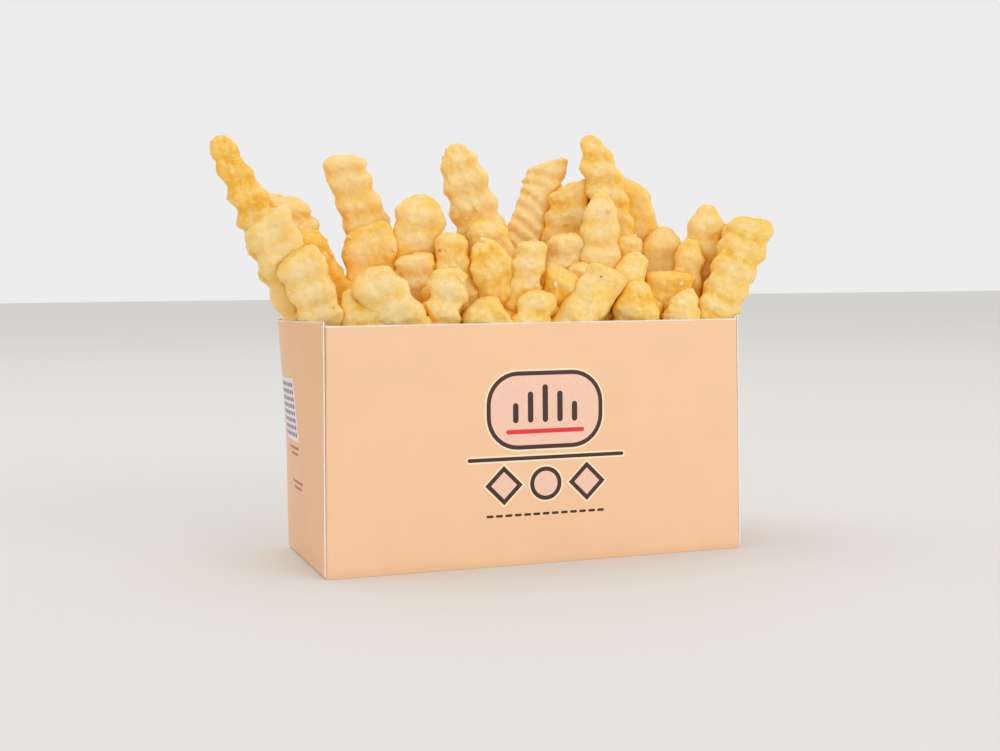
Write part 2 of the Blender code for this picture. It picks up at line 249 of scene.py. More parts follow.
def linear(hex_colour):
    """Turns an sRGB hex colour into linear red, green, blue and alpha."""
    values = [int(hex_colour[i:i + 2], 16) / 255 for i in (1, 3, 5)]
    return tuple(v / 12.92 if v <= 0.04045 else ((v + 0.055) / 1.055) ** 2.4 for v in values) + (1.0,)


def toned(colour, share, lift=0.0):
    """A linear colour made darker or lighter by a share, and no lighter than white."""
    return tuple(min(1.0, value * share + lift) for value in colour[:3]) + (1.0,)


def pattern(size):
    """Scale of a noise or cell texture whose features are about a size, in metres."""
    return 1.0 / size


def feed(node, inputs):
    """Sets a node's inputs by name or place: to a number or a colour, or with a link from a socket."""
    for key, value in inputs.items():
        if isinstance(value, bpy.types.NodeSocket):
            node.id_data.links.new(value, node.inputs[key])
        else:
            node.inputs[key].default_value = value


def add(tree, kind, inputs=None, out=0, **settings):
    """Adds a node with its settings and inputs, and gives the socket of one of its outputs."""
    node = tree.nodes.new("ShaderNode" + kind)
    for name, value in settings.items():
        setattr(node, name, value)
    feed(node, inputs or {})
    return node.outputs[out]


def new_material(name):
    """A new material with its node tree, its shader and the socket of the object's own coordinates."""
    material = bpy.data.materials.new(name)
    material.use_nodes = True
    tree = material.node_tree
    return material, tree, tree.nodes["Principled BSDF"], add(tree, "TexCoord", out="Object")


def fried_potato():
    """Potato in a thin batter, fried in oil: pale crisp skin and tiny pale blisters, with a painted golden
    glow in the hollows, painted shade in the seams and on the grooves of the ridges.
    """
    material, tree, shader, place = new_material("fried potato in light batter")
    names = ("tone", "hollow", "seam", "ridge", "rim")
    marks = [add(tree, "Attribute", out="Fac", attribute_name=name) for name in names]
    tone, hollow, seam, ridge, rim = marks
    # Patches of deeper frying, about 7 mm across
    patch = add(tree, "TexNoise", {"Vector": place, "Scale": pattern(7.143 * MM), "Detail": 3.0,
                                   "Roughness": 0.55})
    patch = add(tree, "MapRange", {"Value": patch, "From Min": 0.32, "From Max": 0.70, "To Min": -0.46,
                                   "To Max": 0.46})
    depth = add(tree, "Math", {0: tone, 1: patch}, operation="ADD")
    # Painted shade: crests and the batter's mounds stay paler than the grooves between them, to deepen the
    # shading of the ridges
    crest = add(tree, "Math", {0: ridge, 1: -0.32}, operation="MULTIPLY")
    depth = add(tree, "Math", {0: depth, 1: crest}, operation="ADD")
    colour = add(tree, "ValToRGB", {"Fac": depth})
    ramp = colour.node.color_ramp
    for end, (position, tint) in zip(ramp.elements, ((0.0, PALE), (1.0, DEEP))):
        end.position = position
        end.color = linear(tint)
    for position, tint in ((0.45, STRAW), (0.8, GOLDEN)):
        ramp.elements.new(position).color = linear(tint)
    # Where the batter is thicker it stays floury and pale: mottles of 2 mm broken up at 0.4 mm
    mottle = add(tree, "TexNoise", {"Vector": place, "Scale": pattern(2.083 * MM), "Detail": 6.0,
                                    "Roughness": 0.72})
    mottle = add(tree, "MapRange", {"Value": mottle, "From Min": 0.50, "From Max": 0.66, "To Max": 0.62})
    colour = add(tree, "Mix", {0: mottle, 6: colour, 7: linear(BATTER)}, out=2, data_type="RGBA")
    # Where oil soaked in, small yellow stains of 1.6 mm
    stain = add(tree, "TexNoise", {"Vector": place, "Scale": pattern(1.639 * MM), "Detail": 4.0,
                                   "Roughness": 0.6})
    stain = add(tree, "MapRange", {"Value": stain, "From Min": 0.55, "From Max": 0.70, "To Max": 0.6})
    colour = add(tree, "Mix", {0: stain, 6: colour, 7: linear(GOLDEN)}, out=2, data_type="RGBA")
    # Edges and cut ends fry deeper; on the section's corners the same golden tint is also painted shade along
    # each fry's edges
    rim = add(tree, "MapRange", {"Value": rim, "From Min": 0.15, "From Max": 0.9, "To Max": 0.55})
    colour = add(tree, "Mix", {0: rim, 6: colour, 7: linear(EDGE)}, out=2, data_type="RGBA")
    # Painted light and shade: the hollows between the fries take a bright yellow glow for the light that
    # passes through and bounces between them, and the seams where they touch take a darker orange shade
    hollow = add(tree, "MapRange", {"Value": hollow, "From Min": 0.14, "From Max": 0.66, "To Max": 0.85})
    colour = add(tree, "Mix", {0: hollow, 6: colour, 7: linear(PAINTED_HOLLOW_GLOW)}, out=2, data_type="RGBA")
    seam = add(tree, "MapRange", {"Value": seam, "From Min": 0.10, "From Max": 0.48, "To Max": 0.85})
    colour = add(tree, "Mix", {0: seam, 6: colour, 7: linear(PAINTED_SEAM_SHADE)}, out=2, data_type="RGBA")
    # Blisters in the batter, about a third of a 1.6 mm cell across and paler than the rest, in groups
    blister = add(tree, "TexVoronoi", {"Vector": place, "Scale": pattern(1.613 * MM)})
    blister = add(tree, "MapRange", {"Value": blister, "From Min": 0.10, "From Max": 0.28, "To Min": 1.0,
                                     "To Max": 0.0})
    group = add(tree, "TexNoise", {"Vector": place, "Scale": pattern(3.846 * MM), "Detail": 2.0})
    group = add(tree, "MapRange", {"Value": group, "From Min": 0.47, "From Max": 0.58})
    dots = add(tree, "Math", {0: blister, 1: group}, operation="MULTIPLY")
    pale = add(tree, "Math", {0: dots, 1: 0.5}, operation="MULTIPLY")
    colour = add(tree, "Mix", {0: pale, 6: colour, 7: linear(BLISTER)}, out=2, data_type="RGBA")
    # A few browned specks of 0.5 mm, in rare groups
    speck = add(tree, "TexVoronoi", {"Vector": place, "Scale": pattern(6.667 * MM)})
    speck = add(tree, "MapRange", {"Value": speck, "From Min": 0.035, "From Max": 0.055, "To Min": 1.0,
                                   "To Max": 0.0})
    rare = add(tree, "TexNoise", {"Vector": place, "Scale": pattern(13.333 * MM), "Detail": 0.0})
    rare = add(tree, "MapRange", {"Value": rare, "From Min": 0.60, "From Max": 0.64, "To Max": 0.9})
    spots = add(tree, "Math", {0: speck, 1: rare}, operation="MULTIPLY")
    colour = add(tree, "Mix", {0: spots, 6: colour, 7: linear(SPECK)}, out=2, data_type="RGBA")
    # Grain of the crust, 0.6 mm over 1.3 mm, with the blisters raised
    grain = add(tree, "TexNoise", {"Vector": place, "Scale": pattern(0.588 * MM), "Detail": 3.0,
                                   "Roughness": 0.6})
    coarse = add(tree, "TexNoise", {"Vector": place, "Scale": pattern(1.333 * MM), "Detail": 2.0})
    height = add(tree, "Math", {0: grain, 1: 0.5}, operation="MULTIPLY")
    height = add(tree, "Math", {0: coarse, 1: 1.2, 2: height}, operation="MULTIPLY_ADD")
    height = add(tree, "Math", {0: dots, 1: 0.6, 2: height}, operation="MULTIPLY_ADD")
    bump = add(tree, "Bump", {"Height": height, "Strength": 0.45, "Distance": 0.4 * MM})
    roughness = add(tree, "MapRange", {"Value": grain, "From Min": 0.3, "From Max": 0.7, "To Min": 0.34,
                                       "To Max": 0.58})
    feed(shader, {"Base Color": colour, "Roughness": roughness, "Normal": bump, "IOR": 1.45,
                  "Specular IOR Level": 0.4, "Subsurface Weight": 0.45, "Subsurface Scale": 2.0 * MM,
                  "Subsurface Radius": (1.0, 0.95, 0.4)})
    return material


def fried_crumb():
    """Loose bits of batter fried right through: dry, matt, from straw to light brown."""
    material, tree, shader, place = new_material("fried batter crumb")
    tone = add(tree, "Attribute", out="Fac", attribute_name="tone")
    tone = add(tree, "MapRange", {"Value": tone, "From Min": 0.2, "From Max": 0.9})
    colour = add(tree, "Mix", {0: tone, 6: linear(BATTER), 7: linear(EDGE)}, out=2, data_type="RGBA")
    grain = add(tree, "TexNoise", {"Vector": place, "Scale": pattern(0.667 * MM), "Detail": 3.0})
    stain = add(tree, "MapRange", {"Value": grain, "From Min": 0.45, "From Max": 0.7, "To Max": 0.6})
    colour = add(tree, "Mix", {0: stain, 6: colour, 7: linear(GOLDEN)}, out=2, data_type="RGBA")
    bump = add(tree, "Bump", {"Height": grain, "Strength": 0.5, "Distance": 0.2 * MM})
    feed(shader, {"Base Color": colour, "Roughness": 0.55, "Normal": bump, "IOR": 1.45})
    return material


def coated_board(name, hex_colour, roughness=0.45):
    """Clay-coated paperboard printed one flat colour: faint fibre clouding and a satin varnish."""
    material, tree, shader, place = new_material(name)
    base = linear(hex_colour)
    shade = toned(base, 0.93)
    # Clouding of 11 mm and fibres of 0.4 mm
    cloud = add(tree, "TexNoise", {"Vector": place, "Scale": pattern(11.111 * MM), "Detail": 4.0})
    fibre = add(tree, "TexNoise", {"Vector": place, "Scale": pattern(0.4167 * MM), "Detail": 2.0})
    clouded = add(tree, "MapRange", {"Value": cloud, "From Min": 0.35, "From Max": 0.65, "To Max": 0.45})
    colour = add(tree, "Mix", {0: clouded, 6: base, 7: shade}, out=2, data_type="RGBA")
    flecked = add(tree, "MapRange", {"Value": fibre, "From Min": 0.45, "From Max": 0.75, "To Max": 0.25})
    colour = add(tree, "Mix", {0: flecked, 6: colour, 7: shade}, out=2, data_type="RGBA")
    height = add(tree, "Math", {0: cloud, 1: 3.0}, operation="MULTIPLY")
    height = add(tree, "Math", {0: fibre, 1: 0.3, 2: height}, operation="MULTIPLY_ADD")
    bump = add(tree, "Bump", {"Height": height, "Strength": 0.12, "Distance": 0.2 * MM})
    gloss = add(tree, "MapRange", {"Value": fibre, "From Min": 0.3, "From Max": 0.7,
                                   "To Min": roughness - 0.05, "To Max": roughness + 0.08})
    feed(shader, {"Base Color": colour, "Normal": bump, "IOR": 1.5, "Roughness": gloss})
    return material


def raw_board():
    """The cut edge of the board: bare white pulp with a ragged, fibrous look, its fibres 0.8 mm long."""
    material, tree, shader, place = new_material("raw paperboard edge")
    fibre = add(tree, "TexNoise", {"Vector": place, "Scale": pattern(0.769 * MM), "Detail": 5.0,
                                   "Roughness": 0.7})
    grey = add(tree, "MapRange", {"Value": fibre, "From Min": 0.35, "From Max": 0.7})
    colour = add(tree, "Mix", {0: grey, 6: linear(PULP), 7: linear(PULP_SHADE)}, out=2, data_type="RGBA")
    bump = add(tree, "Bump", {"Height": fibre, "Strength": 0.4, "Distance": 0.1 * MM})
    feed(shader, {"Base Color": colour, "Roughness": 0.85, "Normal": bump})
    return material


def ink(name, hex_colour):
    """Offset ink on the coated board: thin, glossier than the board, with a mottle of 0.6 mm."""
    material, tree, shader, place = new_material(name)
    base = linear(hex_colour)
    mottle = add(tree, "TexNoise", {"Vector": place, "Scale": pattern(0.5556 * MM), "Detail": 2.0})
    thin = add(tree, "MapRange", {"Value": mottle, "From Min": 0.4, "From Max": 0.7, "To Max": 0.6})
    colour = add(tree, "Mix", {0: thin, 6: base, 7: toned(base, 1.12, 0.004)}, out=2, data_type="RGBA")
    gloss = add(tree, "MapRange", {"Value": mottle, "From Min": 0.3, "From Max": 0.7, "To Min": 0.34,
                                   "To Max": 0.42})
    feed(shader, {"Base Color": colour, "Roughness": gloss, "IOR": 1.5})
    return material


def new_object(name, data):
    """An object that shows a mesh, light or camera, linked to the scene."""
    item = bpy.data.objects.new(name, data)
    bpy.context.scene.collection.objects.link(item)
    return item


def new_mesh_object(name, verts, faces, materials):
    """An object from points and faces."""
    mesh = bpy.data.meshes.new(name)
    mesh.from_pydata([tuple(v) for v in verts], [], faces)
    for one in materials:
        mesh.materials.append(one)
    return new_object(name, mesh)


def store(mesh, name, values):
    """Stores a number at every point of a mesh, for its material to read."""
    mesh.attributes.new(name, "FLOAT", "POINT").data.foreach_set("value", np.asarray(values, np.float32))


def ring_quads(rings, count, start=0):
    """Quads between rings of points, each ring joined to the next, from the point with number start on."""
    quads = []
    for level in range(rings - 1):
        a = start + level * count
        for i in range(count):
            j = (i + 1) % count
            quads.append((a + i, a + j, a + count + j, a + count + i))
    return quads


# The carton


def side_x(sign, y, z):
    """Outer face of the folded box's side: straight at the foot, bowed out at the rim."""
    bulge = LEFT_BULGE if sign < 0 else RIGHT_BULGE
    height = max(z, 0.0) / HEIGHT
    across = min(abs(y) / (DEPTH / 2), 1.0)
    bow = bulge * height * (1 - across * across)
    pull = FRONT_PULL_IN * height * (0.5 - y / DEPTH)
    return sign * (WIDTH / 2 + bow - pull)


def fold_radius(sign, inward):
    """Radius of the left or right folds on a face that lies inward of the board's outside."""
    return max((LEFT_FOLD if sign < 0 else RIGHT_FOLD) - inward, LEAST_FOLD)


def wall_loop(z, inward, side_steps=24, end_steps=24, fold_steps=6):
    """The folded box's outline at a height, anticlockwise from its front right fold."""
    half = DEPTH / 2
    points = []
    for sign, y_sign, turn in ((1, -1, -90), (1, 1, 0), (-1, 1, 90), (-1, -1, 180)):
        radius = fold_radius(sign, inward)
        reach = half - inward - radius
        corner = Vector((side_x(sign, y_sign * half, z), y_sign * half))
        centre = corner - Vector((sign, y_sign)) * (inward + radius)
        for step in range(fold_steps + 1):
            angle = math.radians(turn + 90 * step / fold_steps)
            points.append(centre + radius * Vector((math.cos(angle), math.sin(angle))))
        if turn in (-90, 90):
            for step in range(1, side_steps):
                y = sign * reach * (2 * step / side_steps - 1)
                points.append(Vector((side_x(sign, y, z) - sign * inward, y)))
        else:
            y = y_sign * (half - inward)
            start = side_x(sign, y_sign * half, z) - sign * (inward + radius)
            end = side_x(-sign, y_sign * half, z) + sign * (inward + fold_radius(-sign, inward))
            for step in range(1, end_steps):
                points.append(Vector((start + (end - start) * step / end_steps, y)))
    return [(p.x, p.y, z) for p in points]


def make_box_wall(materials):
    """The folded wall of the box, outside up, over the raw rim and down the inside."""
    top = HEIGHT - RAW_BAND
    rise = top - BASE_BOARD
    levels = [BASE_BOARD + rise * i / WALL_LEVELS for i in range(WALL_LEVELS + 1)] + [HEIGHT]
    loops = [wall_loop(FOOT_LIFT, FOOT_TUCK)] + [wall_loop(z, SKIN) for z in levels]
    outer = len(loops)
    loops += [wall_loop(z, BOARD) for z in reversed(levels)]
    count = len(loops[0])
    verts = []
    for level, loop in enumerate(loops):
        for order, (x, y, z) in enumerate(loop):
            if level in (outer - 1, outer):
                z = z + RAGGED * math.sin(order * 1.7) * math.sin(order * 0.23)
                z = z + (TORN_RISE if order in TORN_FOLD else 0.0)
            if level == outer - 2:
                z = z + 0.7 * RAW_BAND * noise.noise((x / (3 * MM), y / (3 * MM), 0.5))
            verts.append((x, y, z))
    faces = ring_quads(len(loops), count)
    slots = []
    for level in range(len(loops) - 1):
        # Printed outside, raw rim, bare inside
        slots += [0 if level < outer - 2 else (1 if level <= outer - 1 else 2)] * count
    last = (len(loops) - 1) * count
    for i in range(count):
        j = (i + 1) % count
        faces.append((last + i, last + j, j, i))
        slots.append(1)
    wall = new_mesh_object("carton_wall", verts, faces, materials)
    wall.data.polygons.foreach_set("material_index", slots)
    return wall


def make_side_panel(sign, materials):
    """An outer side panel glued on the box, with raw white edges at its folds and over the rim."""
    name = "carton_panel_left" if sign < 0 else "carton_panel_right"
    half = DEPTH / 2 - (LEFT_INSET if sign < 0 else RIGHT_INSET)
    top = HEIGHT + FLAP_RISE
    rows, columns = 40, 40
    verts = []
    for offset in (-SKIN, PANEL_OUT):
        for level in range(rows + 1):
            z = FLAP_FOOT + (top - RAW_BAND - FLAP_FOOT) * min(level, rows - 1) / (rows - 1)
            if level == rows:
                z = top
            for step in range(columns + 1):
                t = 2 * step / columns - 1
                ragged = RAGGED * math.sin(level * 1.9) * math.sin(level * 0.31 + 1.0)
                y = half * t + (ragged if step in (0, columns) else 0.0)
                over = 0.04 * MM * math.sin(step * 2.1) if level == rows else 0.0
                x = side_x(sign, half * t, z) + sign * offset
                verts.append((x, y, z + over))
    width = columns + 1
    shell = (rows + 1) * width
    faces = []
    slots = []
    for level in range(rows):
        for step in range(columns):
            a = level * width + step
            quad = (a, a + 1, a + width + 1, a + width)
            outside = tuple(shell + i for i in quad)
            faces.append(quad if sign < 0 else quad[::-1])
            faces.append(outside[::-1] if sign < 0 else outside)
            slots += [2, 1 if level == rows - 1 else 0]
    edge = list(range(width))
    edge += [level * width + columns for level in range(1, rows + 1)]
    edge += [rows * width + step for step in range(columns - 1, -1, -1)]
    edge += [level * width for level in range(rows - 1, 0, -1)]
    for i, a in enumerate(edge):
        b = edge[(i + 1) % len(edge)]
        quad = (a, shell + a, shell + b, b)
        faces.append(quad if sign < 0 else quad[::-1])
        slots.append(1)
    panel = new_mesh_object(name, verts, faces, materials)
    panel.data.polygons.foreach_set("material_index", slots)
    return panel


def make_base(materials):
    """The bottom: a front and a back flap that meet on a slanted seam, under a plain floor sheet."""
    half_x = WIDTH / 2 - BASE_INSET
    half_y = DEPTH / 2 - BASE_INSET
    seam = 5.0 * MM
    gap = 0.35 * MM
    notch = 9.0 * MM
    sheets = [
        ([(-half_x, -half_y), (half_x, -half_y), (half_x, seam - notch), (half_x - notch, seam),
          (-half_x + notch, seam), (-half_x, seam - notch)], 0.0, BASE_BOARD),
        ([(-half_x, half_y), (-half_x, seam - notch + gap), (-half_x + notch, seam + gap),
          (half_x - notch, seam + gap), (half_x, seam - notch + gap), (half_x, half_y)], 0.0, BASE_BOARD),
        ([(-half_x, -half_y), (half_x, -half_y), (half_x, half_y), (-half_x, half_y)],
         BASE_BOARD, BASE_BOARD * 2),
    ]
    verts = []
    faces = []
    slots = []
    for outline, low, high in sheets:
        start = len(verts)
        count = len(outline)
        verts += [(x, y, low) for x, y in outline]
        verts += [(x, y, high) for x, y in outline]
        faces.append(tuple(start + i for i in reversed(range(count))))
        faces.append(tuple(start + count + i for i in range(count)))
        slots += [0, 2]
        faces += ring_quads(2, count, start)
        slots += [1] * count
    base = new_mesh_object("carton_base", verts, faces, materials)
    base.data.polygons.foreach_set("material_index", slots)
    return base


# The print: plain shapes in ink, on the front panel's plane (x, z) or the left panel (y, z)


def on_front(u, v, height):
    """A point of the front panel's print."""
    return (u, -DEPTH / 2 + SKIN - height, v)


def on_left(u, v, height):
    """A point of the left panel's print, seen with u running towards the front."""
    return (side_x(-1, -u, v) - PANEL_OUT - height, -u, v)


class Print:
    """Collects flat shapes of one ink and makes them one thin mesh."""

    def __init__(self, name, surface, layer):
        self.name = name
        self.surface = surface
        self.low = 0.004 * MM + layer * 0.015 * MM
        self.high = self.low + 0.015 * MM
        self.verts = []
        self.faces = []

    def shape(self, outline):
        """Adds a filled shape with its outline anticlockwise as seen, in millimetres."""
        start = len(self.verts)
        count = len(outline)
        for height in (self.low, self.high):
            self.verts += [self.surface(u * MM, v * MM, height) for u, v in outline]
        self.faces.append(tuple(start + count + i for i in range(count)))
        self.faces += ring_quads(2, count, start)

    def box(self, u, v, width, height, steps=1):
        """Adds a filled rectangle by its middle, split along its width to follow a curved panel."""
        for step in range(steps):
            left = u - width / 2 + width * step / steps
            right = left + width / steps
            low, high = v - height / 2, v + height / 2
            self.shape([(left, low), (right, low), (right, high), (left, high)])

    def bar(self, start, end, width, segments=8):
        """Adds a line with round ends."""
        a = Vector(start)
        b = Vector(end)
        heading = math.atan2(b.y - a.y, b.x - a.x)
        outline = []
        for centre, turn in ((b, -90), (a, 90)):
            for step in range(segments + 1):
                angle = heading + math.radians(turn + 180 * step / segments)
                end = centre + width / 2 * Vector((math.cos(angle), math.sin(angle)))
                outline.append((end.x, end.y))
        self.shape(outline)

    def ring(self, outline, width):
        """Adds a closed line of even width along an outline."""
        count = len(outline)
        inner = grown(outline, -width / 2)
        outer = grown(outline, width / 2)
        for i in range(count):
            j = (i + 1) % count
            self.shape([inner[i], outer[i], outer[j], inner[j]])

    def made(self, material):
        """Makes the mesh."""
        return new_mesh_object(self.name, self.verts, self.faces, [material])


def grown(outline, amount):
    """An anticlockwise outline moved outwards by an amount, with its corners kept sharp."""
    moved = []
    for i, here in enumerate(outline):
        before = Vector(here) - Vector(outline[i - 1])
        after = Vector(outline[(i + 1) % len(outline)]) - Vector(here)
        first = Vector((before.y, -before.x)).normalized()
        second = Vector((after.y, -after.x)).normalized()
        middle = (first + second).normalized()
        step = middle * (amount / max(middle.dot(first), 0.3))
        moved.append((here[0] + step.x, here[1] + step.y))
    return moved


def arc(u, v, radius, start, end, steps):
    """Points along an arc of a circle, in degrees."""
    points = []
    for step in range(steps + 1):
        angle = math.radians(start + (end - start) * step / steps)
        points.append((u + radius * math.cos(angle), v + radius * math.sin(angle)))
    return points


def rounded_box(u, v, width, height, radius):
    """An anticlockwise rectangle with round corners."""
    points = []
    for side_u, side_v, start in ((1, 1, 0), (-1, 1, 90), (-1, -1, 180), (1, -1, 270)):
        centre_u = u + side_u * (width / 2 - radius)
        centre_v = v + side_v * (height / 2 - radius)
        points += arc(centre_u, centre_v, radius, start, start + 90, 8)
    return points


# Front print, in millimetres from the middle of the front's foot
PRINT_MIDDLE = 1.0
LINE = 1.25
GLOW = 1.0
FIELD_MIDDLE = 45.4
FIELD_WIDTH = 35.0
FIELD_HEIGHT = 21.6
FIELD_CORNER = 9.0
BAR_FOOT = 42.6
BAR_HEIGHTS = (4.2, 7.4, 9.4, 7.4, 4.2)
BAR_PITCH = 4.6
BAR_WIDTH = 1.7
RED_LINE = 39.2
RED_HALF = 11.6
RED_WIDTH = 1.3
RULE = 31.4
RULE_LEFT = -22.5
RULE_RIGHT = 25.3
RULE_WIDTH = 1.1
SHAPE_MIDDLE = 23.7
SHAPE_PITCH = 13.0
DIAMOND_HALF = 4.9
CIRCLE_RADIUS = 4.3
DASH_LINE = 14.8
DASHES = 13
DASH_PITCH = 2.9
DASH_HALF = 0.7
DASH_WIDTH = 0.75
# Left print, in millimetres towards the front and up from the middle of the panel's foot
SQUARE_MIDDLE = (-2.5, 46.0)
SQUARE_SIDE = 18.6
DOT_ROWS = 8
DOT_PITCH = 2.1
DOT_RADIUS = 0.72
SIDE_BARS = ((34.6, 12.0), (32.8, 9.0), (24.2, 14.0), (22.4, 10.0))
SIDE_BAR_HEIGHT = 0.8


def make_front_print():
    """A plain emblem in the middle of the front: a rounded field with upright bars and a red line, a long
    rule, three outlined shapes and a row of short dashes."""
    halo = Print("print_halo", on_front, 0)
    pink = Print("print_pink", on_front, 1)
    brown = Print("print_brown", on_front, 2)
    red = Print("print_red", on_front, 2)
    field = rounded_box(PRINT_MIDDLE, FIELD_MIDDLE, FIELD_WIDTH, FIELD_HEIGHT, FIELD_CORNER)
    halo.shape(grown(field, (LINE + GLOW) / 2))
    pink.shape(field)
    brown.ring(field, LINE)
    for step, height in enumerate(BAR_HEIGHTS):
        u = PRINT_MIDDLE + (step - len(BAR_HEIGHTS) // 2) * BAR_PITCH
        brown.bar((u, BAR_FOOT), (u, BAR_FOOT + height), BAR_WIDTH)
    red.bar((PRINT_MIDDLE - RED_HALF, RED_LINE), (PRINT_MIDDLE + RED_HALF, RED_LINE), RED_WIDTH)
    halo.bar((RULE_LEFT, RULE), (RULE_RIGHT, RULE), RULE_WIDTH + GLOW)
    brown.bar((RULE_LEFT, RULE), (RULE_RIGHT, RULE), RULE_WIDTH)
    # A circle between two diamonds
    for step in (-1, 0, 1):
        u = PRINT_MIDDLE + step * SHAPE_PITCH
        if step:
            turns = ((0, -1), (1, 0), (0, 1), (-1, 0))
            outline = [(u + x * DIAMOND_HALF, SHAPE_MIDDLE + y * DIAMOND_HALF) for x, y in turns]
        else:
            outline = arc(u, SHAPE_MIDDLE, CIRCLE_RADIUS, 0, 350, 35)
        halo.shape(grown(outline, (LINE + GLOW) / 2))
        pink.shape(outline)
        brown.ring(outline, LINE)
    for step in range(DASHES):
        u = PRINT_MIDDLE + (step - DASHES // 2) * DASH_PITCH
        brown.bar((u - DASH_HALF, DASH_LINE), (u + DASH_HALF, DASH_LINE), DASH_WIDTH)
    inks = [(halo, "cream ink", CREAM_INK), (pink, "pale pink ink", PINK_INK),
            (brown, "dark brown ink", BROWN_INK), (red, "red ink", RED_INK)]
    return [part.made(ink(name, colour)) for part, name, colour in inks]


def make_left_print():
    """On the left panel a pale square with an even grid of dots, and short bars under it."""
    field = Print("print_side_field", on_left, 0)
    dots = Print("print_side_dots", on_left, 1)
    bars = Print("print_side_bars", on_left, 1)
    middle_u, middle_v = SQUARE_MIDDLE
    field.box(middle_u, middle_v, SQUARE_SIDE, SQUARE_SIDE, steps=14)
    for row in range(DOT_ROWS):
        for column in range(DOT_ROWS):
            u = (column - (DOT_ROWS - 1) / 2) * DOT_PITCH + middle_u
            v = middle_v + (row - (DOT_ROWS - 1) / 2) * DOT_PITCH
            dots.shape(arc(u, v, DOT_RADIUS, 0, 330, 11))
    for v, width in SIDE_BARS:
        bars.box(0.0, v, width, SIDE_BAR_HEIGHT, steps=12)
    inks = [(field, "pale lilac ink", LILAC_INK), (dots, "brown dot ink", DOT_INK),
            (bars, "russet ink", RUSSET_INK)]
    return [part.made(ink(name, colour)) for part, name, colour in inks]


# The fries


def smooth(values):
    """Smoothstep of an array clipped to 0 and 1."""
    t = np.clip(values, 0.0, 1.0)
    return t * t * (3 - 2 * t)


# For each kind of tip, the length that its end is rounded over (mm) and how full the rounding is
TIP_ENDS = {
    "narrow": (3.0, 2.3),
    "point": (2.2, 2.2),
    "blunt": (2.2, 2.6),
    "soft": (4.0, 2.3),
    "round": (5.4, 2.3),
    "dome": (8.5, 2.0),
}
# Kinds that taper: distances below the tip (mm) and the share of the width there
TIP_NECKS = {
    "narrow": ((0, 8, 16, 24, 32), (0.60, 0.62, 0.78, 0.93, 1.0)),
    "point": ((0, 3, 6, 10, 14), (0.34, 0.60, 0.82, 0.97, 1.0)),
}


def tip_scale(kind, below):
    """Width share at a distance below the tip, in metres, for each kind of tip."""
    mm = below / MM
    fillet, power = TIP_ENDS[kind]
    neck = np.interp(mm, *TIP_NECKS[kind]) if kind in TIP_NECKS else 1.0
    return neck * (1 - (1 - np.clip(mm / fillet, 0, 1)) ** power) ** (1 / power)


def lumps(points, size, seed):
    """Soft noise from -1 to 1 at each point, with lumps of about a given size."""
    shift = Vector((seed * 0.37, seed * 1.31, seed * 2.17))
    return np.array([noise.noise(Vector(p) / size + shift) for p in points])


def fry_stations(root, length):
    """Distances along a fry where it has a section: far apart in the carton, crowded where the tip closes."""
    hidden = max(root - HIDDEN_BELOW, 0.0)
    foot = np.arange(0.0, hidden, 3 * STATION)
    count = max(12, int((length - TIP_LENGTH - hidden) / STATION))
    body = np.linspace(hidden, length - TIP_LENGTH, count, endpoint=False)
    cap = length - TIP_LENGTH * (1 - np.sin(np.linspace(0.0, math.pi / 2, 12)))
    return np.concatenate([foot, body, cap])


def batter(local, number, rough):
    """Thickness of the uneven batter at each point (mm), and the fine crust and the mounds in it."""
    soft = lumps(local, 4.6 * MM, number)
    mounds = np.abs(lumps(local, 2.9 * MM, number + 30)) - 0.2
    fine = lumps(local, 1.25 * MM, number + 50)
    knobs = np.clip(lumps(local, 2.3 * MM, number + 90) - 0.1, 0, None)
    return 0.55 * soft + rough * (0.85 * mounds + 0.25 * fine + 0.6 * knobs), fine, mounds


